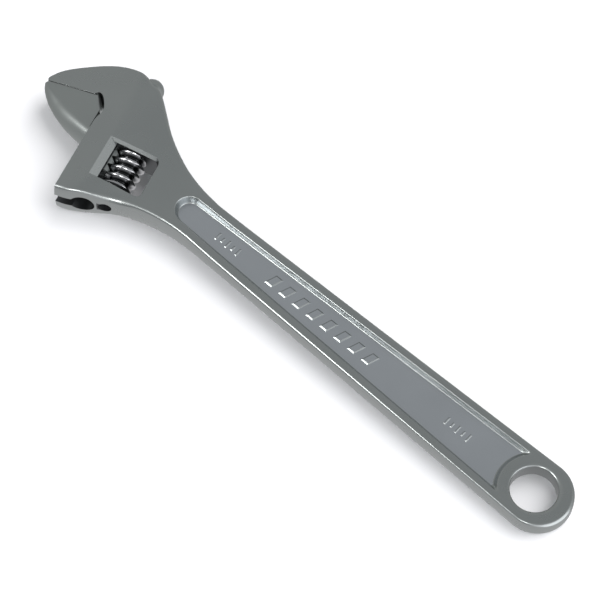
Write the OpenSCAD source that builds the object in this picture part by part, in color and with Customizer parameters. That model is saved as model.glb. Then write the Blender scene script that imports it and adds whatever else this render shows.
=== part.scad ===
// Adjustable wrench, nominal 450 mm (18 in) size.
// Frame: origin on the axis of the hanging hole at mid thickness, +X along the handle
// towards the head, +Z through the thickness. The movable jaw is drawn closed.

/* [Handle] */
// Outer radius of the rounded handle end, mm
end_r = 23.3; // [20:0.1:26]
// Distance of the centre of the rounded end behind the hanging hole, mm
end_shift = 3.5; // [0:0.1:5]
// Radius of the hanging hole, mm
hole_r = 15.5; // [12:0.5:16]
// Depth of the flared rim of the hanging hole, mm
rim_d = 1.7; // [0.5:0.1:2.5]
// Half width lost for each millimetre of handle length
handle_taper = 0.0229; // [0:0.0001:0.03]
// Thickness of the handle rails, mm
handle_t = 14.8; // [12:0.2:18]
// Width of one rail beside the recessed panel, mm
rail_w = 6.6; // [4:0.1:8]
// Thickness of the web between the two recessed panels, mm
web_t = 7.4; // [5:0.2:10]
// Distance from the hole to the head end of the recessed panel, mm
panel_end = 306; // [260:0.5:308]
// Radius of the curved step between the hole eye and the panel, mm
eye_step_r = 24.8; // [23:0.1:30]
// Height of the raised marks on the panels, mm
mark_h = 0.8; // [0.2:0.1:1]

/* [Head] */
// Angle between the handle axis and a line square to the slide, degrees
slide_angle = 16; // [14:0.5:20]
// Angle of the jaw faces to the handle axis, degrees
jaw_angle = 18.5; // [17:0.5:20]
// Largest thickness of the head, on the ridge behind the guide face, mm
head_t = 32; // [29:0.5:33]
// Thickness of the jaws at the nose, mm
nose_t = 15.2; // [12:0.2:20]
// Radius of the round boss on the back of the head, mm
boss_r = 8.4; // [7:0.1:10]
// Depth of the rounding of the head's outer edges, mm
edge_roll = 4; // [1:0.5:5]

/* [Worm drive] */
// Axial pitch of the worm thread and of the rack teeth, mm
pitch = 6.5; // [6.3:0.1:6.8]
// Crest radius of the worm, mm
worm_r = 11.2; // [10.8:0.1:11.3]
// Root radius of the worm thread, mm
worm_root_r = 7.7; // [7.4:0.1:7.9]
// Length of the worm window along the slide, mm
window_l = 30; // [29.8:0.1:30.4]
// End play of the worm in its window, at each end, mm
end_play = 0.15; // [0.1:0.05:0.3]
// Radius of the plain part of the worm pin, mm
pin_r = 3.5; // [3:0.1:3.6]
// Radius of the head of the worm pin, mm
pin_head_r = 4.6; // [4.2:0.1:4.7]
// Radial running clearance of the worm on its pin, mm
pin_clear = 0.05; // [0.03:0.01:0.1]

/* [Movable jaw] */
// Gap left between the jaw faces when closed, mm
closed_gap = 0.25; // [0.1:0.05:0.5]
// Radius of the round rib that carries the rack, mm
rib_r = 7.9; // [7.6:0.1:8]
// Clearance of the rib, its neck and the jaw heel in the body, mm
slide_clear = 0.3; // [0.2:0.05:0.4]
// Thickness of the neck between the rib and the jaw, mm
neck_t = 8; // [7:0.2:8.6]
// Depth of the rounding of the movable jaw's outer edge, mm
jaw_roll = 7; // [2:0.5:8]

/* [Hidden] */
$fn = 64;

// Slide frame: t runs square to the guide face towards the nose, s runs along the slide
// in the opening direction. Both are 0 where the guide face meets the jaw line.
J0 = [394, -23.5];
NV = [cos(slide_angle), sin(slide_angle)];
UV = [-sin(slide_angle), cos(slide_angle)];
JV = [cos(jaw_angle), sin(jaw_angle)];
function P(t, s) = J0 + t * NV + s * UV;
function ts(p) = [(p - J0) * NV, (p - J0) * UV];
// Height of the fixed jaw face along the slide, at the distance t from the guide face.
function face_s(t) = 1.05 + (t - 25.2) * tan(jaw_angle - slide_angle);
rib_t = -18.5;
worm_t = -33.3;
win_s = 27.3;
win_e = win_s + window_l;
boss_s = 25.9;
bevel_a = atan((head_t / 2 - 0.8 - 12.3) / 25);
rib_top = -12;
rib_end = 47;
hz = handle_t / 2;

// A smooth curve through a chain of points, k steps for each span.
function cr(a, b, c, d, v) = 0.5 * (2 * b + (c - a) * v + (2 * a - 5 * b + 4 * c - d) * v * v + (3 * b - a - 3 * c + d) * v * v * v);
function curve(p, k) = [for (i = [0 : len(p) - 2]) for (j = [0 : k - 1])
    cr(p[max(i - 1, 0)], p[i], p[i + 1], p[min(i + 2, len(p) - 1)], j / k), p[len(p) - 1]];
function half_w(x) = end_r - handle_taper * x;
function arc(cx, cy, r, a0, a1, k) = [for (i = [0 : k]) [cx + r * cos(a0 + (a1 - a0) * i / k), cy + r * sin(a0 + (a1 - a0) * i / k)]];
function unit(v) = v / norm(v);
// Adds the inward roll vector to every point of an edge. Its depth is looked up in rt along the
// edge, from 0 to 1; n0 and n1 replace the inward direction at the ends.
function rolled(p, rt, n0, n1) = [for (i = [0 : len(p) - 1])
    let (d = unit(p[min(i + 1, len(p) - 1)] - p[max(i - 1, 0)]),
         nn = i == 0 && n0 != undef ? n0 : i == len(p) - 1 && n1 != undef ? n1 : [d[1], -d[0]],
         r = lookup(i / (len(p) - 1), rt))
    [p[i][0], p[i][1], nn[0] * r, nn[1] * r]];
function sharp(p) = [for (q = p) [q[0], q[1], 0, 0]];

// Half thickness across the head and the handle, as (t, z) corners from the nose back.
flank = [[60, nose_t / 2 - 3.4], [43.7, nose_t / 2], [30, nose_t / 2 + 3.3], [15, head_t / 2 - 2.6], [0, head_t / 2 - 1], [-15.5, head_t / 2],
    [-30, head_t / 2 - 0.8], [-55, 12.3], [-70, 10.6], [-84, 9.4], [-98, 8.4], [-112, hz + 0.2], [-125, hz], [-430, hz]];
function flank_z(t) = lookup(-t, [for (q = flank) [-q[0], q[1]]]);

// A plate whose edge rolls inwards towards both faces, following its own half thickness.
steps = [-1.12, -0.92, -0.72, -0.42, 0, 0.42, 0.72, 0.92, 1.12];
module rolled_plate(o) {
    n = len(o);
    m = len(steps) + 2;
    pts = [for (k = [0 : m - 1]) for (q = o)
        let (v = k == 0 ? -1 : k == m - 1 ? 1 : steps[k - 1],
             h = flank_z(ts([q[0], q[1]])[0]),
             z = k == 0 ? -20 : k == m - 1 ? 20 : v * h,
             e = 1 - sqrt(max(0, 1 - v * v)))
        [q[0] + q[2] * e, q[1] + q[3] * e, z]];
    faces = concat([[for (j = [n - 1 : -1 : 0]) j]], [[for (j = [0 : n - 1]) (m - 1) * n + j]],
        [for (k = [0 : m - 2]) for (j = [0 : n - 1]) for (f = [0, 1])
            f == 0 ? [k * n + j, (k + 1) * n + (j + 1) % n, (k + 1) * n + j] : [k * n + j, k * n + (j + 1) % n, (k + 1) * n + (j + 1) % n]]);
    intersection() {
        polyhedron(points = pts, faces = faces, convexity = 6);
        on_slide(0, 0) linear_extrude(height = 420, center = true)
            polygon(concat(flank, [for (i = [len(flank) - 1 : -1 : 0]) [flank[i][0], -flank[i][1]]]));
    }
}

// Places a shape drawn along its own Z on the slide direction: its X lies along t.
module on_slide(t, s) {
    p = P(t, s);
    translate([p[0], p[1], 0]) rotate([0, 0, slide_angle]) rotate([-90, 0, 0]) children();
}

// Places a flat shape drawn in (t, s) on the head.
module in_slide() {
    translate([J0[0], J0[1], 0]) rotate([0, 0, slide_angle]) children();
}

// Edges of the body, walked with the metal on the right hand.
near_edge = curve([[285, half_w(285)], [294, 17.3], [303, 18.5], [311, 20.1], [320, 22.6], [329.2, 26.3], [338.7, 31.2], [347.8, 36.7], [356.6, 42.2], [365, 47.4], P(0, 77)], 2);
throat = curve([P(0, 18.5), P(-0.9, 15), P(-1.8, 12.6), P(-2.1, 10.4), P(-1.7, 7.8), P(0, 4.3), P(2.8, 0.2), P(5.2, -1.7), P(7.2, -1.9), P(8.7, -0.9), P(9.4, face_s(9.4))], 2);
fixed_nose = curve([P(44.8, face_s(44.8)), [438.2, -11.2], [437.5, -15], [435, -21.1], [430, -28.2], [423.4, -35], [416.5, -41.4], [409.7, -46.9], [402.8, -51.2], [395.5, -54.3], [389.2, -55.7], [384, -55.4]], 2);
back_edge = curve([[378.8, -53.6], [370.8, -53], [359, -45.2], [346.6, -36.4], [333.4, -29.1], [320, -23.3], [310, -20.3], [300, -18.3], [292, -17.4], [285, -half_w(285)]], 2);
end_a = 90 - atan(handle_taper);
outline = concat(rolled(near_edge, [[0, 1.4], [0.5, edge_roll], [1, edge_roll]], undef, -UV), sharp(throat),
    rolled(fixed_nose, [[0, 1.2], [0.1, 2], [0.3, edge_roll], [1, edge_roll]], -JV, undef),
    rolled(back_edge, [[0, edge_roll], [0.5, edge_roll], [1, 1.4]]), rolled(arc(-end_shift, 0, end_r + handle_taper * end_shift, -end_a, -360 + end_a, 32), [[0, 1.4], [1, 1.4]]));

// Floor outline of one recessed panel of the handle.
module panel() {
    x0 = 18;
    x1 = panel_end - 10.5;
    w0 = half_w(x0) - rail_w;
    w1 = half_w(x1) - rail_w;
    difference() {
        polygon(concat([[x0, -w0], [x1, -w1]], curve([[x1, -w1], [x1 + 4.2, -w1 + 1.4], [x1 + 8.8, -4.8], [panel_end, 0], [x1 + 8.8, 4.8], [x1 + 4.2, w1 - 1.4], [x1, w1]], 4), [[x0, w0]]));
        circle(r = eye_step_r);
    }
}

// Raised marks on a panel: a row of slanted bars between two short tallies.
module marks() {
    for (i = [0 : 7]) translate([137 + 12 * i, 0]) polygon([[-4.5, -4.5], [1.5, -4.5], [4.5, 4.5], [-1.5, 4.5]]);
    for (x = [54, 253]) for (i = [0 : 4]) translate([x + 4.5 * i, 0]) square([1.6, i % 2 == 0 ? 6 : 4], center = true);
}

module body() color([0.62, 0.64, 0.64]) {
    difference() {
        union() {
            rolled_plate(outline);
            // round boss closing the blind end of the rack channel
            on_slide(rib_t - 1.7, -boss_s) cylinder(r = boss_r, h = boss_s - 12);
            on_slide(rib_t - 1.7, -boss_s) sphere(r = boss_r);
        }
        // recessed panels, front and back
        for (m = [0, 1]) mirror([0, 0, m]) translate([0, 0, web_t / 2]) linear_extrude(20) panel();
        // hanging hole with flared rims
        translate([0, 0, -20]) cylinder(r = hole_r, h = 40);
        for (m = [0, 1]) mirror([0, 0, m]) translate([0, 0, hz - rim_d]) cylinder(r1 = hole_r, r2 = hole_r + 5, h = 2 * rim_d);
        // worm window with round corners on the handle side and its milled bevels
        translate([0, 0, -20]) linear_extrude(40) in_slide() difference() {
            translate([-54, win_s]) square([32.5, window_l]);
            for (k = [0, 1]) translate([-54, k == 0 ? win_s : win_e]) difference() {
                translate([-1, k == 0 ? -1 : -4]) square([5, 5]);
                translate([4, k == 0 ? 4 : -4]) circle(r = 4);
            }
        }
        for (m = [0, 1]) mirror([0, 0, m]) on_slide(0, win_s) linear_extrude(window_l)
            polygon([[-21.6, -11.4], [-21.3, -11.4], [-16.2, -15.9], [-12, -20], [-21.6, -20]]);
        for (m = [0, 1]) mirror([0, 0, m]) in_slide() translate([-30, 0, head_t / 2 - 0.8]) rotate([0, -bevel_a, 0]) translate([-23, 0, 0]) rotate([90, 0, 90])
            linear_extrude(31.6) polygon([[win_s + 1, -2.6], [win_s, -2.6], [win_s - 1.8, 0], [win_s - 4.5, 4], [win_s + 1, 4]]);
        // round channel of the rack and the slot of the neck, open at the lower end
        on_slide(rib_t, rib_top - 2) cylinder(r = rib_r + slide_clear, h = 110);
        on_slide(0, 10) translate([rib_t, -neck_t / 2 - slide_clear, 0]) cube([8 - rib_t, neck_t + 2 * slide_clear, 90]);
        // pin holes above and below the window
        on_slide(worm_t, 15) cylinder(r = pin_r + 0.02, h = 20);
        on_slide(worm_t, win_e - 2) cylinder(r = pin_r + 0.1, h = 10);
        on_slide(worm_t, win_e + 3) cylinder(r = pin_head_r + 0.02, h = 40);
    }
    for (m = [0, 1]) mirror([0, 0, m]) translate([0, 0, web_t / 2 - 0.5]) linear_extrude(mark_h + 0.5) marks();
}

// Outer edge of the movable jaw ahead of the guide face, from the toe to the nose.
jaw_edge = curve([P(slide_clear, 33.3), [392.2, 8.2], [399.4, 7.7], [406.7, 6.9], [414, 5.5], [421.2, 3.3], [428.1, 0.3], [434.8, -3.8], [437.9, -7.3], P(44.6, face_s(44.6) + closed_gap)], 2);

module movable_jaw() color([0.6, 0.62, 0.62]) {
    rolled_plate(concat(rolled(jaw_edge, [[0, jaw_roll], [0.5, jaw_roll], [0.8, 3], [1, 1]], -UV, -JV), sharp([P(6.7, face_s(6.7) + closed_gap), P(slide_clear, 10.6)])));
    // neck in the slot
    on_slide(0, 11) translate([rib_t, -neck_t / 2, 0]) cube([2 - rib_t, neck_t, 20.7]);
    // round rib with rack teeth on the worm side
    difference() {
        on_slide(rib_t, rib_top) cylinder(r = rib_r, h = rib_end - rib_top);
        on_slide(0, rib_top - 1) translate([worm_t - 5, -12, 0]) cube([5 + worm_root_r + 0.45, 24, rib_end - rib_top + 2]);
        for (k = [-8 : 1]) on_slide(worm_t, win_s + window_l / 2 + pitch * k) rotate([lead_a, 0, 0]) rotate([90, 0, 0]) linear_extrude(height = 24, center = true)
            polygon([[6, -3], [8.1, -2.85], [9.5, -1.95], [10.8, -1.05], [worm_r + 0.4, -0.6], [worm_r + 0.4, 0.6], [10.8, 1.05], [9.5, 1.95], [8.1, 2.85], [6, 3]]);
    }
}

// Lead angle of the thread at its middle radius.
lead_a = atan(pitch / (PI * (worm_r + worm_root_r)));
worm_l = window_l - 2 * end_play;

module worm() color([0.7, 0.7, 0.7]) {
    rm = (worm_r + worm_root_r) / 2;
    ra = (worm_r - worm_root_r) / 2;
    difference() {
        on_slide(worm_t, win_s + end_play) rotate([0, 0, 360 * (end_play - window_l / 2) / pitch])
            linear_extrude(height = worm_l, twist = -360 * worm_l / pitch, slices = 44)
                polygon([for (i = [0 : 17]) (rm + ra * cos(20 * i)) * [cos(20 * i), sin(20 * i)]]);
        on_slide(worm_t, win_s - 1) cylinder(r = pin_r + pin_clear, h = window_l + 2);
        on_slide(worm_t, win_s - 1) cylinder(r = 6.1, h = 10);
    }
}

module worm_pin() color([0.35, 0.35, 0.36]) {
    on_slide(worm_t, 15.3) cylinder(r = pin_r, h = win_e + 5 - 15.3);
    difference() {
        on_slide(worm_t, win_e + 3.2) cylinder(r = pin_head_r, h = 4.4);
        on_slide(worm_t, win_e + 6.2) translate([-6, -0.7, 0]) cube([12, 1.4, 3]);
    }
}

// Coil spring in the counterbore of the worm.
coil_n = 5;
coil_seg = 16;
wire_r = 0.6;
coil_r = 4.7;
coil_l = 7.4;
module worm_spring() color([0.5, 0.5, 0.52]) {
    m = coil_n * coil_seg;
    pts = [for (i = [0 : m]) for (j = [0 : 7])
        let (a = 360 * i / coil_seg, rr = coil_r + wire_r * cos(45 * j))
        [rr * cos(a), rr * sin(a), wire_r + coil_l * i / m + wire_r * sin(45 * j)]];
    faces = concat([[for (j = [0 : 7]) j]], [[for (j = [7 : -1 : 0]) 8 * m + j]],
        [for (i = [0 : m - 1]) for (j = [0 : 7]) [8 * i + j, 8 * (i + 1) + j, 8 * (i + 1) + (j + 1) % 8, 8 * i + (j + 1) % 8]]);
    on_slide(worm_t, win_s + 0.1) polyhedron(points = pts, faces = faces);
}

body();
movable_jaw();
worm();
worm_pin();
worm_spring();
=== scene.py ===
import math
import bmesh
import bpy
import numpy as np
from mathutils import Matrix, Vector
from mathutils.geometry import delaunay_2d_cdt


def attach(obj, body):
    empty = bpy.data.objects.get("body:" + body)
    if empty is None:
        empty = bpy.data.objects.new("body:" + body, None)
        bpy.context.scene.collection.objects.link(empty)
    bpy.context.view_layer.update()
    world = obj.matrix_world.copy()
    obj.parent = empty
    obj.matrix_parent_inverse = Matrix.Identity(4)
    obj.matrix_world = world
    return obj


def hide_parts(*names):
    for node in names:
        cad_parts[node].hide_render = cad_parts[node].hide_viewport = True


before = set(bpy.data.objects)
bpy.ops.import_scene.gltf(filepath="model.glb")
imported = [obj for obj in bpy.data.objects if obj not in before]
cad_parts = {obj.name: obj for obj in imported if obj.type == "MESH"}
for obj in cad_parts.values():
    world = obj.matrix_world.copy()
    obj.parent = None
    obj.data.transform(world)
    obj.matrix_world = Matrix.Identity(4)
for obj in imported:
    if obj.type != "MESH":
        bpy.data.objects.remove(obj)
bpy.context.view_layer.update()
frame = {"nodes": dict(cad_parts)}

# ---------------------------------------------------------------- slide frame (mm)
SL = math.radians(16.0)
JA = math.radians(18.5)
J0 = np.array([394.0, -23.5])
NV = np.array([math.cos(SL), math.sin(SL)])
UV = np.array([-math.sin(SL), math.cos(SL)])
JV = np.array([math.cos(JA), math.sin(JA)])
RIB_T, WORM_T = -18.5, -33.3
WIN_S, WIN_L = 27.3, 30.0
WIN_E = WIN_S + WIN_L
PITCH = 6.5


def P(t, s):
    return J0 + t * NV + s * UV


def ts(xy):
    d = np.asarray(xy, float) - J0
    return d @ NV, d @ UV


def face_s(t):
    return 1.05 + (t - 25.2) * math.tan(JA - SL)


def curve(pts, k):
    p = np.array([np.asarray(q, float) for q in pts])
    out = []
    for i in range(len(p) - 1):
        a, b, c, d = p[max(i - 1, 0)], p[i], p[i + 1], p[min(i + 2, len(p) - 1)]
        for j in range(k):
            v = j / k
            out.append(0.5 * (2 * b + (c - a) * v + (2 * a - 5 * b + 4 * c - d) * v * v + (3 * b - a - 3 * c + d) * v ** 3))
    out.append(p[-1])
    return np.array(out)


def resample(p, step):
    d = np.r_[0, np.cumsum(np.linalg.norm(np.diff(p, axis=0), axis=1))]
    n = max(2, int(round(d[-1] / step)) + 1)
    q = np.linspace(0, d[-1], n)
    return np.c_[np.interp(q, d, p[:, 0]), np.interp(q, d, p[:, 1])]


def bow(p, d=0.025):
    """Hollows a straight clockwise run by a hair, so that its points are not in one line."""
    e = (p[-1] - p[0]) / np.linalg.norm(p[-1] - p[0])
    f = np.linspace(0, 1, len(p))[:, None]
    return p + np.array([e[1], -e[0]]) * d * 4 * f * (1 - f)


HW = lambda x: 23.3 - 0.0229 * x

# ---------------------------------------------------------------- height of the faces
_dk = np.array([-700, -125, -109, -97, -82.5, -68.5, -54.5, -39.5, -27, -14.5, 0, 30], float)
_zk = np.array([7.4, 7.4, 7.42, 7.68, 8.45, 9.45, 10.6, 12.3, 13.85, 15.15, 16.0, 17.5], float)
_dd = np.arange(-420, 30, 0.5)
_zz = np.interp(_dd, _dk, _zk)
_g = np.exp(-0.5 * (np.arange(-36, 37) / 12.0) ** 2)
_g /= _g.sum()
_zz = np.convolve(np.pad(_zz, 36, mode="edge"), _g, "valid")
NEAR = curve([[285, HW(285)], [294, 17.3], [303, 18.5], [311, 20.1], [320, 22.6], [329.2, 26.3], [338.7, 31.2], [347.8, 36.7], [356.6, 42.2], [365, 47.4], P(0, 77)], 8)
_nt = np.gradient(NEAR, axis=0)
_nt /= np.linalg.norm(_nt, axis=1)[:, None]


def height(xy):
    """Half thickness of the wrench over a point of its plan."""
    xy = np.atleast_2d(np.asarray(xy, float))
    t, s = ts(xy)
    tc = np.maximum(-16.6, -15.2 - 0.0859 * np.clip(s, -60, 40))
    d = t - tc
    back = np.interp(d, _dd, _zz)
    dp = np.maximum(d, 0)
    front = 16.0 - 0.06 * d - 0.0012 * dp * dp
    k = 0.10
    m = np.minimum(back, front)
    h = m - k * np.log(np.exp(-(back - m) / k) + np.exp(-(front - m) / k))
    # the lower edge of the head falls away softly between the neck and the guide
    dist = np.min(np.hypot(xy[:, None, 0] - NEAR[None, :, 0], xy[:, None, 1] - NEAR[None, :, 1]), axis=1)
    x = xy[:, 0]
    fall = np.interp(x, [283, 300, 312, 325, 337, 343, 349, 355, 361, 368], [0, 0.3, 0.9, 1.9, 3.2, 3.0, 2.2, 1.3, 0.5, 0.0])
    w = np.clip(1 - (dist - 3.5) / 11.0, 0, 1)
    return np.maximum(h - fall * w * w * (3 - 2 * w), 7.4)


# ---------------------------------------------------------------- mesh helpers
class Patch:
    """Collects vertices (mm) and faces; coincident vertices are welded at the end."""

    def __init__(self):
        self.v, self.f = [], []

    def add(self, verts, faces, flip=False):
        b = len(self.v)
        self.v.extend([tuple(map(float, q)) for q in verts])
        for f in faces:
            f = [b + i for i in f]
            self.f.append(f[::-1] if flip else f)

    def strip(self, a, b, closed=True, flip=False):
        """Quads between two loops of the same length."""
        n = len(a)
        m = n if closed else n - 1
        self.add(list(a) + list(b), [(j, (j + 1) % n, n + (j + 1) % n, n + j) for j in range(m)], flip)

    def mirrored(self):
        b = len(self.v)
        self.v.extend([(x, y, -z) for x, y, z in self.v[:b]])
        self.f.extend([[b + i for i in f[::-1]] for f in self.f[:]])

    def build(self, name, weld=0.004):
        me = bpy.data.meshes.new(name)
        me.from_pydata([Vector(q) for q in self.v], [], self.f)
        bm = bmesh.new()
        bm.from_mesh(me)
        bmesh.ops.remove_doubles(bm, verts=bm.verts, dist=weld)
        bmesh.ops.dissolve_degenerate(bm, dist=weld, edges=bm.edges)
        bmesh.ops.recalc_face_normals(bm, faces=bm.faces)
        bm.to_mesh(me)
        bm.free()
        ob = bpy.data.objects.new(name, me)
        bpy.context.scene.collection.objects.link(ob)
        return ob


def inside(pt, poly):
    x, y = pt[:, 0][:, None], pt[:, 1][:, None]
    a, b = poly, np.roll(poly, -1, axis=0)
    c = (a[None, :, 1] > y) != (b[None, :, 1] > y)
    dy = b[None, :, 1] - a[None, :, 1]
    dy = np.where(dy == 0, 1e-12, dy)
    xi = a[None, :, 0] + (y - a[None, :, 1]) * (b[None, :, 0] - a[None, :, 0]) / dy
    return (np.sum(c & (x < xi), axis=1) % 2) == 1


def seg_dist(pt, loops):
    best = np.full(len(pt), 1e9)
    for lp in loops:
        a, b = lp, np.roll(lp, -1, axis=0)
        ab = b - a
        l2 = np.maximum((ab ** 2).sum(1), 1e-12)
        for i in range(0, len(pt), 400):
            q = pt[i:i + 400]
            u = np.clip(((q[:, None] - a[None]) * ab[None]).sum(2) / l2, 0, 1)
            d = np.linalg.norm(q[:, None] - (a[None] + u[..., None] * ab[None]), axis=2).min(1)
            best[i:i + 400] = np.minimum(best[i:i + 400], d)
    return best


def plate(outer, holes, points):
    """Conforming triangles inside outer, outside holes, through the given points."""
    loops = [np.asarray(outer, float)] + [np.asarray(h, float) for h in holes]
    vs, es = [], []
    for lp in loops:
        b = len(vs)
        vs += [Vector((float(q[0]), float(q[1]))) for q in lp]
        es += [(b + j, b + (j + 1) % len(lp)) for j in range(len(lp))]
    vs += [Vector((float(q[0]), float(q[1]))) for q in points]
    V, _, F, _, _, _ = delaunay_2d_cdt(vs, es, [], 0, 1e-5, False)
    V = np.array([[q[0], q[1]] for q in V])
    F = np.array([f for f in F if len(f) == 3])
    c = V[F].mean(1)
    keep = inside(c, loops[0])
    for lp in loops[1:]:
        keep &= ~inside(c, lp)
    return V, F[keep]


def grid(x0, x1, y0, y1, step):
    X, Y = np.meshgrid(np.arange(x0, x1, step), np.arange(y0, y1, step))
    X = X + (np.arange(X.shape[0])[:, None] % 2) * step * 0.5
    return np.c_[X.ravel(), Y.ravel()]


# ---------------------------------------------------------------- rolled side walls
ARC = [math.radians(a) for a in (12, 26, 40, 54, 68, 80, 90)]
ELL = [math.radians(a) for a in (0, 14, 28, 42, 54, 63, 70, 76, 81, 86, 90)]


def prof(h, d, r, e):
    """Side profile as (inset, z) samples: a drafted wall with a rounded top edge, or with e > 0 an ellipse of depth e."""
    if e > 0:
        return [(e * (1 - math.cos(q)), h * math.sin(q)) for q in ELL]
    out = [(d * (z / h) ** 2, z) for z in (0, 0.4 * (h - r), 0.75 * (h - r), h - r)]
    return out + [(d * ((h - r + r * math.sin(q)) / h) ** 2 + r * (1 - math.cos(q)), h - r + r * math.sin(q)) for q in ARC]


def rolled(p, table, n0=None, n1=None, ell=False):
    """Points of an edge walked clockwise, each with its inward direction and (draft, radius) or ellipse depth."""
    out = []
    for i in range(len(p)):
        d = p[min(i + 1, len(p) - 1)] - p[max(i - 1, 0)]
        d = d / np.linalg.norm(d)
        nn = np.array([d[1], -d[0]])
        if i == 0 and n0 is not None:
            nn = n0
        if i == len(p) - 1 and n1 is not None:
            nn = n1
        f = i / (len(p) - 1)
        a = np.interp(f, [q[0] for q in table], [q[1] for q in table])
        b = np.interp(f, [q[0] for q in table], [q[2] for q in table]) if not ell else 0.0
        out.append((p[i], nn, a, b, ell))
    return out


def rings(edge):
    """Loops of the side wall from mid thickness up to the face, and the plan of the top loop."""
    cols = []
    for q, nn, a, b, ell in edge:
        tot = a if ell else a + b
        h = float(height(q + nn * tot)[0])
        pr = prof(h, 0, 0, a) if ell else prof(h, a, b, 0)
        cols.append([(q[0] + nn[0] * i, q[1] + nn[1] * i, z) for i, z in pr])
    m = len(cols[0])
    return [[c[k] for c in cols] for k in range(m)]


BR = 0.08  # small edge break of machined edges


def broken(p, n0=None, n1=None, br=BR):
    return rolled(p, [(0, 0.0, br), (1, 0.0, br)], n0, n1)


# ---------------------------------------------------------------- body
near_pts = resample(NEAR, 2.2)
guide_pts = bow(resample(np.array([P(0, 77), P(0, 24)]), 3.0))
throat_pts = resample(curve([P(0, 24), P(-0.1, 18.5), P(-0.9, 15), P(-1.8, 12.6), P(-2.1, 10.4), P(-1.7, 7.8), P(0, 4.3), P(2.8, 0.2), P(5.2, -1.7), P(7.2, -1.9), P(8.7, -0.9), P(9.4, face_s(9.4))], 8), 0.9)
face_pts = bow(resample(np.array([P(9.4, face_s(9.4)), P(44.8, face_s(44.8))]), 3.0))
nose_c = curve([P(44.8, face_s(44.8)), [438.2, -11.2], [437.5, -15], [435, -21.1], [430, -28.2], [423.4, -35], [416.5, -41.4], [409.7, -46.9], [402.8, -51.2], [395.5, -54.3], [389.2, -55.7], [384, -55.4]], 10)
nose_pts = resample(nose_c, 1.6)
back_c = curve([[384, -55.4], [378.8, -53.6], [370.8, -53], [359, -45.2], [346.6, -36.4], [333.4, -29.1], [320, -23.3], [310, -20.3], [300, -18.3], [292, -17.4], [285, -HW(285)]], 8)
back_pts = resample(back_c, 2.2)
ea = math.pi / 2 - math.atan(0.0229)
EYE_X = -3.5
eye = np.array([[EYE_X + HW(EYE_X) * math.cos(a), HW(EYE_X) * math.sin(a)] for a in np.linspace(-ea, -2 * math.pi + ea, 72)])
far_h = bow(resample(np.array([[285, -HW(285)], eye[0]]), 6.0))
near_h = bow(resample(np.array([eye[-1], [285, HW(285)]]), 6.0))

HD = (0.5, 1.9)   # draft and edge radius of the handle
RD = (1.7, 2.1)   # the same on the head
ED = (0.5, 1.1)   # the same on the near side next to the rounded end
corner = -UV
body_edge = (
    rolled(near_h[:-1], [(0,) + ED, (0.2, 0.5, 1.1), (0.6,) + HD, (1,) + HD])
    + rolled(near_pts, [(0,) + HD, (0.42, 1.0, 2.3), (0.53, 0.9, 4.4), (0.62, 1.0, 4.4), (0.75,) + RD, (1,) + RD], None, corner)
    + broken(guide_pts[1:-1])
    + broken(throat_pts[:-1])
    + broken(face_pts[:-1], None, None)
    + rolled(nose_pts, [(0, 0.3, 0.5), (0.1, 0.8, 1.2), (0.3,) + RD, (1,) + RD], -JV)[:-1]
    + rolled(back_pts, [(0,) + RD, (0.5,) + RD, (1,) + HD])
    + rolled(far_h[1:-1], [(0,) + HD, (1,) + HD])
    + rolled(eye, [(0,) + HD, (0.3, 0.5, 2.9), (0.7, 0.5, 2.9), (1,) + ED])[:-1]
)
body_rings = rings(body_edge)
top_loop = np.array(body_rings[-1])[:, :2]


def pocket_loop(q):
    """Outline of the recessed panel: q = 0 at the rails' edge, 1 at the floor."""
    wf = lambda x: 17.94 - 0.0267 * x - 1.9 * q
    cx = 296.2
    rr = wf(cx)
    re = 23.5 + 2.5 * q
    x = 16.0
    for _ in range(30):
        x = math.sqrt(max(re * re - wf(x) ** 2, 1))
    c = np.array([x, wf(x)])
    a0 = math.atan2(c[1], c[0])
    fr = 3.2
    p1 = c + np.array([fr, -0.0267 * fr])
    a1 = a0 - fr / re
    p2 = re * np.array([math.cos(a1), math.sin(a1)])
    bez = lambda a, b, cc: [((1 - v) ** 2) * a + 2 * v * (1 - v) * b + v * v * cc for v in np.linspace(0, 1, 7)]
    up = [p2 * 1.0]
    fil = bez(p2, c, p1)
    bq = 0.025 * (1 - 2 * (q + 0.44) / 1.86)
    rail = [np.array([xx, wf(xx) + bq * 4 * (xx - p1[0]) * (cx - xx) / (cx - p1[0]) ** 2]) for xx in np.linspace(p1[0], cx, 70)][1:]
    end = [np.array([cx + rr * math.sin(a), rr * math.cos(a)]) for a in np.linspace(0, math.pi, 33)][1:-1]
    half = fil + rail
    low = [np.array([v[0], -v[1]]) for v in half[::-1]]
    arc = [re * np.array([math.cos(a), math.sin(a)]) for a in np.linspace(-a1, a1, 21)][1:-1]
    return np.array(half + end + low + arc)


PW = [(-0.44, 0.0), (-0.34, 0.0), (-0.16, 0.05), (0.0, 0.22), (0.13, 0.55), (0.45, 1.75), (0.72, 2.75), (0.86, 3.2), (1.02, 3.52), (1.2, 3.68), (1.3, 3.7), (1.42, 3.7)]
FLOOR = 3.7
pk = []
for q, dep in PW:
    lp = pocket_loop(q)
    top = height(lp)
    z = top - (top - FLOOR) * dep / 3.7
    pk.append(np.c_[lp, z])

# hanging hole: rounded lip down to the bore
NH = 96
ha = np.linspace(0, 2 * math.pi, NH, endpoint=False)
lip = [(15.5 + 3.3 * (1 - math.sin(q)), 5.6 + 1.8 * math.cos(q)) for q in np.linspace(0, math.pi / 2, 13)]
hole_rings = [[(r * math.cos(a), r * math.sin(a), z) for a in ha] for r, z in lip + [(15.5, 0.0)]]

# worm window: outer loop on the face, inner loop at the foot of its milled bevels
T0, T1, TF = -16.4, -21.5, -54.0
SO = WIN_S - 1.8
wo, wi = [], []


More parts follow.
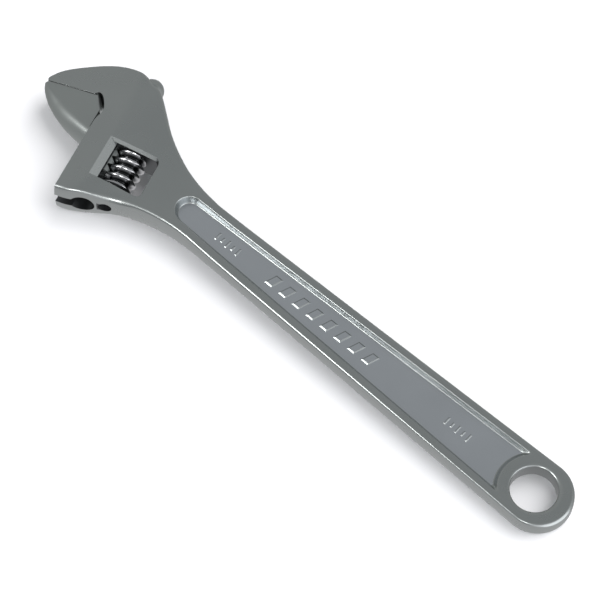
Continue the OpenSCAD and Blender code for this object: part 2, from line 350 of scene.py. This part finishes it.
def wadd(to, so, ti, si, drop=None, z=None):
    a, b = P(to, so), P(ti, si)
    h = float(height(a)[0])
    wo.append((a[0], a[1], h))
    wi.append((b[0], b[1], z if z is not None else h - drop))


EB = 0.25
for f in np.linspace(0, 1, 18):
    wadd(T0 + (-50.4 - T0) * f, SO - 0.08 * f * (1 - f), -19.5 + (-50.4 + 19.5) * f, WIN_S, 2.4)
for a in np.linspace(0, 90, 8)[1:]:
    ca, sa = math.cos(math.radians(a)), math.sin(math.radians(a))
    drop = 2.4 + (0.3 - 2.4) * a / 90
    eo = 1.8 + (EB - 1.8) * a / 90
    wadd(-50.4 - (3.6 + EB) * sa, WIN_S + 3.6 - (3.6 + eo) * ca, -50.4 - 3.6 * sa, WIN_S + 3.6 - 3.6 * ca, drop)
for f in np.linspace(0, 1, 10)[1:]:
    ss = WIN_S + 3.6 + (WIN_L - 7.2) * f
    wadd(TF - EB - 0.08 * f * (1 - f), ss, TF, ss, 0.3)
for a in np.linspace(0, 90, 8)[1:]:
    ca, sa = math.cos(math.radians(a)), math.sin(math.radians(a))
    wadd(-50.4 - (3.6 + EB) * ca, WIN_E - 3.6 + (3.6 + EB) * sa, -50.4 - 3.6 * ca, WIN_E - 3.6 + 3.6 * sa, 0.3)
for f in np.linspace(0, 1, 14)[1:]:
    tt = -50.4 + (T1 + 50.4) * f
    wadd(tt, WIN_E + EB + 0.08 * f * (1 - f), tt, WIN_E, 0.3)
for f in (0.33, 0.66, 1.0):
    to = T1 + (T0 - T1) * f
    wadd(to, WIN_E + EB * (1 - f), T1, WIN_E, z=float(height(P(T1, WIN_E))[0]) - 0.3 + (11.7 - float(height(P(T1, WIN_E))[0]) + 0.3) * f)
for f in np.linspace(0, 1, 13)[1:]:
    wadd(T0 + 0.08 * f * (1 - f), WIN_E + (SO - WIN_E) * f, T1, WIN_E + (WIN_S - WIN_E) * f, z=11.7)
wo_xy = np.array(wo)[:, :2]

# raised marks on the panel floor: slanted bars between two short tallies
MARKS = []
for i in range(8):
    c = 137 + 12 * i
    MARKS.append([(c - 4.5, -4.5), (c + 1.5, -4.5), (c + 4.5, 4.5), (c - 1.5, 4.5)])
for x0 in (54, 253):
    for i in range(5):
        c, hh = x0 + 4.5 * i, (3.0 if i % 2 == 0 else 2.0)
        MARKS.append([(c - 0.8, -hh), (c + 0.8, -hh), (c + 0.8, hh), (c - 0.8, hh)])


def shrink(poly, d):
    p = np.array(poly, float)
    out = []
    n = len(p)
    for i in range(n):
        a, b, c = p[i - 1], p[i], p[(i + 1) % n]
        e1, e2 = (b - a) / np.linalg.norm(b - a), (c - b) / np.linalg.norm(c - b)
        n1, n2 = np.array([-e1[1], e1[0]]), np.array([-e2[1], e2[0]])
        m = n1 + n2
        out.append(b + m * d / (1 + n1 @ n2))
    return np.array(out)


def make_body():
    g = Patch()
    for a, b in zip(body_rings[:-1], body_rings[1:]):
        g.strip(a, b)
    pts = grid(282, 440, -62, 54, 2.4)
    pts = np.vstack([pts, grid(-27, 32, -24, 24, 4.0)])
    ok = inside(pts, top_loop) & ~inside(pts, pk[0][:, :2]) & ~inside(pts, wo_xy)
    pts = pts[ok]
    rim = np.array(hole_rings[0])[:, :2]
    pts = pts[np.hypot(pts[:, 0], pts[:, 1]) > 19.6]
    pts = pts[seg_dist(pts, [top_loop, pk[0][:, :2], wo_xy]) > 1.0]
    V, F = plate(top_loop, [pk[0][:, :2], wo_xy, rim], pts)
    g.add(np.c_[V, height(V)], F.tolist())
    for a, b in zip(pk[:-1], pk[1:]):
        g.strip(a, b)
    fl = pk[-1][:, :2]
    mk = [np.array(m, float) for m in MARKS]
    fp = grid(0, 310, -20, 20, 4.5)
    fp = fp[inside(fp, fl)]
    fp = fp[seg_dist(fp, [fl] + mk) > 1.3]
    for m in mk:
        fp = fp[~inside(fp, m)]
    V, F = plate(fl, mk, fp)
    g.add(np.c_[V, np.full(len(V), FLOOR)], F.tolist())
    for m in mk:
        k = 0.6 if np.ptp(m[:, 0]) < 3 else 1.0
        levels = [(k * d, k * z) for d, z in ((0.0, 0.0), (0.05, 0.12), (0.85, 0.72), (0.93, 0.77), (1.03, 0.79), (1.15, 0.8))]
        lp = [np.c_[shrink(m, d), np.full(len(m), FLOOR + z)] for d, z in levels]
        for a, b in zip(lp[:-1], lp[1:]):
            g.strip(a, b)
        g.add(lp[-1], [list(range(len(m)))])
    for a, b in zip(hole_rings[:-1], hole_rings[1:]):
        g.strip(a, b)
    g.strip(wo, wi)
    g.strip(wi, [(x, y, 0.0) for x, y, z in wi])
    g.mirrored()
    return g.build("wrench_body")


def lathe(name, prof_rz, t, s, n=64, ends=True):
    """Solid of revolution about the slide direction: (radius, distance along the slide) pairs."""
    g = Patch()
    o = P(t, 0)
    ax = np.array([UV[0], UV[1], 0.0])
    e1 = np.array([NV[0], NV[1], 0.0])
    e2 = np.array([0, 0, -1.0])
    loops = []
    for r, z in prof_rz:
        c = np.array([o[0], o[1], 0.0]) + ax * (s + z)
        loops.append([c + r * (math.cos(a) * e1 + math.sin(a) * e2) for a in np.linspace(0, 2 * math.pi, n, endpoint=False)])
    for a, b in zip(loops[:-1], loops[1:]):
        g.strip(a, b)
    if ends:
        g.add(loops[0], [list(range(n))])
        g.add(loops[-1], [list(range(n))])
    return g.build(name)


def block(name, t0, t1, s0, s1, z0, z1):
    g = Patch()
    c = [P(t0, s0), P(t1, s0), P(t1, s1), P(t0, s1)]
    lo = [(q[0], q[1], z0) for q in c]
    hi = [(q[0], q[1], z1) for q in c]
    g.strip(lo, hi)
    g.add(lo, [[0, 1, 2, 3]])
    g.add(hi, [[0, 1, 2, 3]])
    return g.build(name)


def boolean(ob, tool, op):
    md = ob.modifiers.new("b", "BOOLEAN")
    md.operation = op
    md.solver = "EXACT"
    md.object = tool
    dg = bpy.context.evaluated_depsgraph_get()
    me = bpy.data.meshes.new_from_object(ob.evaluated_get(dg), depsgraph=dg)
    ob.modifiers.clear()
    old = ob.data
    ob.data = me
    bpy.data.meshes.remove(old)
    tm = tool.data
    bpy.data.objects.remove(tool)
    bpy.data.meshes.remove(tm)


def finish_mesh(ob, angle=30, scale=0.001):
    me = ob.data
    bm = bmesh.new()
    bm.from_mesh(me)
    bmesh.ops.remove_doubles(bm, verts=bm.verts, dist=0.002)
    bmesh.ops.dissolve_degenerate(bm, dist=0.001, edges=bm.edges)
    loose = [v for v in bm.verts if not v.link_faces]
    bmesh.ops.delete(bm, geom=loose, context="VERTS")
    bm.to_mesh(me)
    bm.free()
    me.transform(Matrix.Scale(scale, 4))
    me.polygons.foreach_set("use_smooth", [True] * len(me.polygons))
    me.set_sharp_from_angle(angle=math.radians(angle))
    me.update()


def face_normals(ob, floor_z=None):
    """Corner normals of the faces from the height of the design, free of thin-triangle noise."""
    me = ob.data
    nv = len(me.vertices)
    co = np.empty(nv * 3)
    me.vertices.foreach_get("co", co)
    co = co.reshape(-1, 3) * 1000
    xy, za = co[:, :2], np.abs(co[:, 2])
    h = np.concatenate([height(xy[i:i + 4000]) for i in range(0, nv, 4000)])
    e = 0.05
    hx = np.concatenate([height(xy[i:i + 4000] + [e, 0]) - height(xy[i:i + 4000] - [e, 0]) for i in range(0, nv, 4000)]) / (2 * e)
    hy = np.concatenate([height(xy[i:i + 4000] + [0, e]) - height(xy[i:i + 4000] - [0, e]) for i in range(0, nv, 4000)]) / (2 * e)
    nn = np.c_[-hx, -hy, np.ones(nv)]
    nn /= np.linalg.norm(nn, axis=1)[:, None]
    nn[:, 2] *= np.sign(co[:, 2])
    on = np.abs(za - h) < 0.004
    if floor_z is not None:
        low = (np.abs(za - floor_z) < 0.002) & (xy[:, 0] < 316)
        nn[low] = np.c_[np.zeros(low.sum()), np.zeros(low.sum()), np.sign(co[low, 2])]
        on |= low
    out = np.zeros((len(me.loops), 3))
    for pl in me.polygons:
        thin = (pl.area * 1e6 < 0.02 and abs(pl.normal.z) > 0.3) or abs(pl.normal.z) > 0.97
        if not thin and abs(pl.normal.z) < 0.85:
            continue
        for li in pl.loop_indices:
            vi = me.loops[li].vertex_index
            if on[vi] and (thin or pl.normal.dot(Vector(nn[vi])) > 0.9):
                out[li] = nn[vi]
    me.normals_split_custom_set([tuple(q) for q in out])


body = make_body()
boss = lathe("boss", [(0.001, -8.4)] + [(8.4 * math.sin(math.radians(a)), -8.4 * math.cos(math.radians(a))) for a in range(8, 91, 8)] + [(8.4, 12.0)], RIB_T - 1.7, -25.9, 56)
boolean(body, boss, "UNION")
boolean(body, lathe("c1", [(8.2, 0), (8.2, 112)], RIB_T, -14), "DIFFERENCE")
boolean(body, block("c2", RIB_T, 8, 10, 100, -4.3, 4.3), "DIFFERENCE")
boolean(body, lathe("c3", [(3.52, 0), (3.52, 20)], WORM_T, 15, 40), "DIFFERENCE")
boolean(body, lathe("c4", [(3.6, 0), (3.6, 5.1), (4.62, 5.1), (4.62, 42)], WORM_T, WIN_E - 2, 40), "DIFFERENCE")
finish_mesh(body)
face_normals(body, FLOOR)

# ---------------------------------------------------------------- movable jaw
GAP, SC = 0.25, 0.3
jaw_out = resample(curve([P(SC, 33.3), [392.2, 8.2], [399.4, 7.7], [406.7, 6.9], [414, 5.5], [421.2, 3.3], [428.1, 0.3], [434.8, -3.8], [437.9, -7.3], P(44.6, face_s(44.6) + GAP)], 10), 1.5)
jf = bow(resample(np.array([P(44.6, face_s(44.6) + GAP), P(6.7, face_s(6.7) + GAP)]), 3.0))
jh = bow(resample(np.array([P(6.7, face_s(6.7) + GAP), P(SC, 10.6)]), 2.0))
jg = bow(resample(np.array([P(SC, 10.6), P(SC, 24.6)]), 2.0))
jaw_edge = (
    rolled(jaw_out, [(0, 8.0, 0), (0.6, 8.0, 0), (0.85, 3.4, 0), (1, 1.0, 0)], -UV, -JV, ell=True)
    + broken(jf[1:-1], br=0.45)
    + broken(jh, br=0.2)
    + broken(jg[1:-1])
)


def make_jaw():
    g = Patch()
    rg = rings(jaw_edge)
    for a, b in zip(rg[:-1], rg[1:]):
        g.strip(a, b)
    tl = np.array(rg[-1])[:, :2]
    pts = grid(380, 440, -26, 12, 2.2)
    pts = pts[inside(pts, tl)]
    pts = pts[seg_dist(pts, [tl]) > 0.9]
    V, F = plate(tl, [], pts)
    g.add(np.c_[V, height(V)], F.tolist())
    g.mirrored()
    return g.build("sliding_jaw")


jaw = make_jaw()
RT, RE = -12.0, 47.0
rib = lathe("rib", [(7.2, 0), (7.9, 0.7), (7.9, RE - RT - 0.7), (7.2, RE - RT)], RIB_T, RT, 72)
boolean(rib, block("flat", WORM_T - 5, WORM_T + 7.7 + 0.45, RT - 1, RE + 1, -12, 12), "DIFFERENCE")
lead = math.atan(PITCH / (math.pi * (11.2 + 7.7)))
prof_g = [(6, -3), (8.1, -2.85), (9.5, -1.95), (10.8, -1.05), (11.6, -0.6), (11.6, 0.6), (10.8, 1.05), (9.5, 1.95), (8.1, 2.85), (6, 3)]
for k in range(-8, 2):
    g = Patch()
    s0 = WIN_S + WIN_L / 2 + PITCH * k
    lo, hi = [], []
    for r, z in prof_g:
        for y, lst in ((-12.0, lo), (12.0, hi)):
            q = P(WORM_T + r, s0 + z * math.cos(lead) - y * math.sin(lead))
            lst.append((q[0], q[1], y * math.cos(lead) + z * math.sin(lead)))
    g.strip(lo, hi)
    g.add(lo, [list(range(len(lo)))])
    g.add(hi, [list(range(len(hi)))])
    boolean(rib, g.build("groove"), "DIFFERENCE")
boolean(rib, block("neck", RIB_T, 2.0, 11.0, 31.7, -4.0, 4.0), "UNION")
boolean(jaw, rib, "UNION")
finish_mesh(jaw)

# ---------------------------------------------------------------- worm, pin, spring


def make_worm():
    g = Patch()
    L0, L1 = WIN_S + 0.15, WIN_E - 0.15
    n, m = 96, 180
    o = P(WORM_T, 0)
    ax, e1, e2 = np.array([UV[0], UV[1], 0.0]), np.array([NV[0], NV[1], 0.0]), np.array([0, 0, -1.0])
    mid = (WIN_S + WIN_E) / 2
    loops = []
    for i in range(m + 1):
        s = L0 + (L1 - L0) * i / m
        cap = min(s - L0, L1 - s)
        lp = []
        for j in range(n):
            a = 2 * math.pi * j / n
            c = 0.5 + 0.5 * math.cos(a - 2 * math.pi * (s - mid) / PITCH)
            r = 7.7 + 3.5 * c ** 0.8
            r = min(r, 9.9 + 1.3 * math.sqrt(max(0.0, 1 - max(0.0, 1 - cap / 0.9) ** 2)))
            lp.append(np.array([o[0], o[1], 0]) + ax * s + r * (math.cos(a) * e1 + math.sin(a) * e2))
        loops.append(lp)
    for a, b in zip(loops[:-1], loops[1:]):
        g.strip(a, b)

    def ring(r, s):
        return [np.array([o[0], o[1], 0]) + ax * s + r * (math.cos(2 * math.pi * j / n) * e1 + math.sin(2 * math.pi * j / n) * e2) for j in range(n)]
    inner = [loops[0], ring(6.1, L0), ring(6.1, WIN_S + 9), ring(3.55, WIN_S + 9), ring(3.55, L1), loops[-1]]
    for a, b in zip(inner[:-1], inner[1:]):
        g.strip(a, b, flip=True)
    return g.build("adjusting_worm")


worm = make_worm()
finish_mesh(worm, 40)

pin = lathe("pivot_pin", [(3.0, 0), (3.5, 0.5), (3.5, WIN_E + 3.2 - 15.3), (4.2, WIN_E + 3.2 - 15.3), (4.6, WIN_E + 3.6 - 15.3), (4.6, WIN_E + 7.1 - 15.3), (4.1, WIN_E + 7.6 - 15.3)], WORM_T, 15.3, 56)
boolean(pin, block("slot", WORM_T - 6, WORM_T + 6, WIN_E + 6.2, WIN_E + 9, -0.7, 0.7), "DIFFERENCE")
finish_mesh(pin)


def make_spring():
    g = Patch()
    o = P(WORM_T, 0)
    ax, e1, e2 = np.array([UV[0], UV[1], 0.0]), np.array([NV[0], NV[1], 0.0]), np.array([0, 0, -1.0])
    n, w, rc, turns, L = 12, 0.55, 4.7, 5, 7.3
    m = 200
    loops = []
    for i in range(m + 1):
        a = 2 * math.pi * turns * i / m
        rad = math.cos(a) * e1 + math.sin(a) * e2
        c = np.array([o[0], o[1], 0]) + ax * (WIN_S + 0.1 + 0.6 + L * i / m) + rc * rad
        loops.append([c + w * (math.cos(b) * rad + math.sin(b) * ax) for b in np.linspace(0, 2 * math.pi, n, endpoint=False)])
    for a, b in zip(loops[:-1], loops[1:]):
        g.strip(a, b)
    g.add(loops[0], [list(range(n))])
    g.add(loops[-1], [list(range(n))])
    return g.build("coil_spring")


spring = make_spring()
finish_mesh(spring, 50)

for ob, bd, node, sl in ((body, "wrench", "body", "body_steel"), (jaw, "jaw", "movable_jaw", "jaw_steel"), (worm, "knurl", "worm", "worm_steel"),
                         (pin, "wrench", "worm_pin", "pin_steel"), (spring, "wrench", "worm_spring", "spring_steel")):
    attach(ob, bd)
    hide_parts(node)

# ---------------------------------------------------------------- materials


def metal(name, col, rough, var=0.05, bump=0.005, scale=900.0, lines=None):
    m = bpy.data.materials.new(name)
    m.use_nodes = True
    nt = m.node_tree
    b = nt.nodes["Principled BSDF"]
    b.inputs["Metallic"].default_value = 1.0
    N = nt.nodes.new
    tc = N("ShaderNodeTexCoord")
    n1 = N("ShaderNodeTexNoise")
    n1.inputs["Scale"].default_value = 28.0
    n1.inputs["Detail"].default_value = 5.0
    n2 = N("ShaderNodeTexNoise")
    n2.inputs["Scale"].default_value = scale
    n2.inputs["Detail"].default_value = 3.0
    nt.links.new(tc.outputs["Object"], n1.inputs["Vector"])
    if lines is None:
        nt.links.new(tc.outputs["Object"], n2.inputs["Vector"])
    else:
        mp = N("ShaderNodeMapping")
        mp.inputs["Scale"].default_value = lines
        nt.links.new(tc.outputs["Object"], mp.inputs["Vector"])
        nt.links.new(mp.outputs[0], n2.inputs["Vector"])
    mix = N("ShaderNodeMixRGB")
    mix.inputs[1].default_value = (*[c * (1 - var) for c in col], 1)
    mix.inputs[2].default_value = (*[min(1, c * (1 + var)) for c in col], 1)
    nt.links.new(n1.outputs["Fac"], mix.inputs[0])
    nt.links.new(mix.outputs[0], b.inputs["Base Color"])
    mr = N("ShaderNodeMapRange")
    mr.inputs["From Min"].default_value = 0.3
    mr.inputs["From Max"].default_value = 0.7
    mr.inputs["To Min"].default_value = rough * 0.9
    mr.inputs["To Max"].default_value = rough * 1.12
    nt.links.new(n1.outputs["Fac"], mr.inputs["Value"])
    nt.links.new(mr.outputs[0], b.inputs["Roughness"])
    bp = N("ShaderNodeBump")
    bp.inputs["Strength"].default_value = 1.0
    bp.inputs["Distance"].default_value = bump * 0.001
    nt.links.new(n2.outputs["Fac"], bp.inputs["Height"])
    nt.links.new(bp.outputs[0], b.inputs["Normal"])
    return m


m_body = metal("satin_chrome_body", (0.44, 0.463, 0.455), 0.28, bump=0.003)
m_jaw = metal("satin_chrome_jaw", (0.42, 0.445, 0.434), 0.40)
m_panel = metal("satin_panel", (0.59, 0.62, 0.65), 0.33, bump=0.004)
m_worm = metal("polished_worm", (0.60, 0.60, 0.61), 0.22, bump=0.004)
# near-black colour for the walls inside the head: painted shade
m_recess_shade = metal("bore_painted_shade", (0.12, 0.125, 0.128), 0.42)
# wall of the hanging hole: the drill lines are its own, the darker colour is painted shade of the shaded paper it
# faces
m_eye_wall_shade = metal("drilled_eye_painted_shade", (0.25, 0.262, 0.262), 0.36, bump=0.006, lines=(0.4, 0.4, 2.2))
# ground faces of the jaws: the grinding lines are their own, the darker colour is painted shade of the gap between
# the jaws
m_face_gap_shade = metal("ground_jaw_face_gap_shade", (0.27, 0.28, 0.28), 0.36, bump=0.010, lines=(0.15, 0.15, 2.6))
# painted shade: the root of the thread is coloured darker towards the axis of the worm, where shade falls between the
# crests
wn = m_worm.node_tree
wb = wn.nodes["Principled BSDF"]
src = wb.inputs["Base Color"].links[0].from_socket


def vmath(op, a, b=None, sock="Vector"):
    n = wn.nodes.new("ShaderNodeVectorMath")
    n.operation = op
    for k, q in enumerate((a, b)):
        if q is None:
            continue
        if isinstance(q, tuple):
            n.inputs[k].default_value = q
        elif op == "SCALE" and k == 1:
            wn.links.new(q, n.inputs["Scale"])
        else:
            wn.links.new(q, n.inputs[k])
    return n.outputs[sock]


_o = P(WORM_T, 0) * 0.001
_ax = (float(UV[0]), float(UV[1]), 0.0)
wc = wn.nodes.new("ShaderNodeTexCoord")
d0 = vmath("SUBTRACT", wc.outputs["Object"], (float(_o[0]), float(_o[1]), 0.0))
sc = wn.nodes.new("ShaderNodeVectorMath")
sc.operation = "SCALE"
sc.inputs[0].default_value = _ax
wn.links.new(vmath("DOT_PRODUCT", d0, _ax, "Value"), sc.inputs["Scale"])
rad = vmath("LENGTH", vmath("SUBTRACT", d0, sc.outputs[0]), None, "Value")
rr = wn.nodes.new("ShaderNodeMapRange")
rr.interpolation_type = "SMOOTHSTEP"
rr.inputs["From Min"].default_value = 0.0082
rr.inputs["From Max"].default_value = 0.0106
wn.links.new(rad, rr.inputs["Value"])
worm_root_shade_mix = wn.nodes.new("ShaderNodeMixRGB")
# near-black colour of the painted shade in the root of the thread
worm_root_shade_mix.inputs[1].default_value = (0.07, 0.072, 0.075, 1)
wn.links.new(rr.outputs[0], worm_root_shade_mix.inputs[0])
wn.links.new(src, worm_root_shade_mix.inputs[2])
wn.links.new(worm_root_shade_mix.outputs[0], wb.inputs["Base Color"])
m_pin = metal("dark_pin", (0.16, 0.16, 0.17), 0.4)
m_spring = metal("spring_wire", (0.4, 0.4, 0.41), 0.3)
for ob, m in ((body, m_body), (jaw, m_jaw), (worm, m_worm), (pin, m_pin), (spring, m_spring)):
    ob.data.materials.clear()
    ob.data.materials.append(m)
# painted shade: the drilled and milled walls inside the head (rib bore, pin hole, slot, window walls) are coloured
# near-black where shade falls in them
body.data.materials.append(m_recess_shade)
body.data.materials.append(m_eye_wall_shade)
body.data.materials.append(m_face_gap_shade)
body.data.materials.append(m_panel)
for pl in body.data.polygons:
    c, q = pl.center * 1000, pl.normal
    t, s_ = ts((c.x, c.y))
    nt_, ns_ = q.x * NV[0] + q.y * NV[1], q.x * UV[0] + q.y * UV[1]
    inward = lambda t0: (nt_ * (t - t0) + q.z * c.z)
    if s_ > -13 and math.hypot(t - RIB_T, c.z) < 8.3 and inward(RIB_T) < -0.5:
        pl.material_index = 1
    elif s_ > 14 and math.hypot(t - WORM_T, c.z) < 4.75 and inward(WORM_T) < -0.5:
        pl.material_index = 1
    elif t > RIB_T and abs(abs(c.z) - 4.3) < 0.02 and abs(q.z) > 0.9:
        pl.material_index = 1
    elif -55 < t < -16 and WIN_S - 0.5 < s_ < WIN_E + 0.5 and abs(q.z) < 0.05 and abs(c.z) < 14:
        pl.material_index = 1
    # wall of the hanging hole: darker colour as painted shade
    elif math.hypot(c.x, c.y) < 15.9 and abs(q.z) < 0.3:
        pl.material_index = 2
    # ground face of the fixed jaw: darker colour as painted shade of the gap
    elif t > 9.4 and abs(s_ - face_s(t)) < 0.1 and abs(q.z) < 0.5:
        pl.material_index = 3
    elif c.x < 316 and 3.65 < abs(c.z) < 4.6 and abs(q.z) > 0.95:
        pl.material_index = 4
# ground face of the sliding jaw: darker colour as painted shade of the gap
jaw.data.materials.append(m_face_gap_shade)
for pl in jaw.data.polygons:
    c, q = pl.center * 1000, pl.normal
    t, s_ = ts((c.x, c.y))
    if t > 0.1 and q.x * JV[1] - q.y * JV[0] > 0.4 and abs(q.z) < 0.93 and s_ < face_s(t) + GAP + 0.6:
        pl.material_index = 1
for n in frame["nodes"]:
    o = frame["nodes"][n] if isinstance(frame["nodes"], dict) else bpy.data.objects.get(n)
    if hasattr(o, "data") and o.data is not None and hasattr(o.data, "materials"):
        mm = {"body": m_body, "movable_jaw": m_jaw, "worm": m_worm, "worm_pin": m_pin, "worm_spring": m_spring}.get(n)
        if mm:
            if len(o.data.materials):
                for i in range(len(o.data.materials)):
                    o.data.materials[i] = mm
            else:
                o.data.materials.append(mm)

# ---------------------------------------------------------------- floor, light, camera
fl = bpy.data.meshes.new("floor")
R = 6.0
tilt = (16.0 - 7.4) / 388.0
zf = lambda x: -0.0074 - 0.0002 - tilt * (x + 0.010)
fl.from_pydata([(-R, -R, zf(-R)), (R, -R, zf(R)), (R, R, zf(R)), (-R, R, zf(-R))], [], [(0, 1, 2, 3)])
floor = bpy.data.objects.new("floor", fl)
bpy.context.scene.collection.objects.link(floor)
fm = bpy.data.materials.new("paper_floor")
fm.use_nodes = True
fb = fm.node_tree.nodes["Principled BSDF"]
fb.inputs["Base Color"].default_value = (0.9, 0.895, 0.91, 1)
fb.inputs["Roughness"].default_value = 0.9
fb.inputs["Specular IOR Level"].default_value = 0.1
floor.data.materials.append(fm)

w = bpy.data.worlds.new("studio")
bpy.context.scene.world = w
w.use_nodes = True
wt = w.node_tree
wtc = wt.nodes.new("ShaderNodeTexCoord")
wsp = wt.nodes.new("ShaderNodeSeparateXYZ")
wt.links.new(wtc.outputs["Generated"], wsp.inputs[0])


def wramp(sock, a, b):
    m = wt.nodes.new("ShaderNodeMapRange")
    m.interpolation_type = "SMOOTHSTEP"
    m.inputs["From Min"].default_value = a
    m.inputs["From Max"].default_value = b
    wt.links.new(sock, m.inputs["Value"])
    return m.outputs[0]


def wmix(f, a, b):
    m = wt.nodes.new("ShaderNodeMixRGB")
    wt.links.new(f, m.inputs[0])
    for i, q in ((1, a), (2, b)):
        if isinstance(q, tuple):
            m.inputs[i].default_value = (*q, 1)
        else:
            wt.links.new(q, m.inputs[i])
    return m.outputs[0]


DARK, LIGHT, BELOW, LEFT = (0.40, 0.41, 0.41), (0.95, 0.96, 0.99), (0.60, 0.60, 0.61), (1.8, 1.83, 1.9)
# dark studio beyond the nose and behind the far edge, pale walls on the near side
fx = wramp(wsp.outputs["X"], 0.30, 0.56)
fy = wramp(wsp.outputs["Y"], -0.95, -0.25)
side = wmix(fy, DARK, wmix(wramp(wsp.outputs["Z"], -0.55, -0.1), BELOW, LIGHT))
side = wmix(fx, side, DARK)
# a dark stand on the near side, a bright window far to the left
side = wmix(wramp(wsp.outputs["Y"], 0.80, 0.88), side, (0.30, 0.31, 0.32))
side = wmix(wramp(wsp.outputs["X"], -0.70, -0.88), side, wmix(wramp(wsp.outputs["Y"], -0.60, -0.42), DARK, LEFT))
ceiling = wmix(wramp(wsp.outputs["X"], 0.20, 0.42), (0.36, 0.372, 0.38), (0.405, 0.415, 0.42))
wt.links.new(wmix(wramp(wsp.outputs["Z"], 0.42, 0.68), side, ceiling), wt.nodes["Background"].inputs[0])


def area(name, loc, target, sx, sy, power, col=(1, 1, 1)):
    ld = bpy.data.lights.new(name, "AREA")
    ld.shape = "RECTANGLE"
    ld.size, ld.size_y = sx, sy
    ld.energy = power
    ld.color = col
    o = bpy.data.objects.new(name, ld)
    o.location = loc
    d = Vector(target) - Vector(loc)
    o.rotation_euler = d.to_track_quat("-Z", "Y").to_euler()
    bpy.context.scene.collection.objects.link(o)
    return o


C = (0.2, 0.0, 0.0)
# the key box and the paper light the scene but are not mirrored in the steel
key = area("key_box", (-0.52, -1.7, 2.15), C, 3.3, 3.3, 118)
key.visible_glossy = False
floor.visible_glossy = False
area("edge_strip", (0.98, 1.85, 1.1), (0.3, 0.0, 0.0), 0.7, 0.7, 14)
area("corner_strip", (-0.45, 1.85, 1.1), (0.3, 0.0, 0.0), 0.6, 0.6, 8)


cam = bpy.data.cameras.new("cam")
co = bpy.data.objects.new("cam", cam)
bpy.context.scene.collection.objects.link(co)
cam.sensor_width = 36.0
cam.lens = 152.94
cam.clip_end = 50
rt = Vector((-0.7716, -0.6361, 0.0))
fw = Vector((0.2862, -0.3472, -0.8931)).normalized()
rt = (rt - fw * rt.dot(fw)).normalized()
up = rt.cross(fw).normalized()
rho = math.radians(2.48)
r2 = (math.cos(rho) * rt + math.sin(rho) * up).normalized()
u2 = (-math.sin(rho) * rt + math.cos(rho) * up).normalized()
M = Matrix.Identity(4)
for i in range(3):
    M[i][0], M[i][1], M[i][2] = r2[i], u2[i], -fw[i]
M[0][3], M[1][3], M[2][3] = -0.2785, 0.5783, 1.4947
co.matrix_world = M
bpy.context.scene.camera = co
bpy.context.scene.view_settings.view_transform = "Standard"
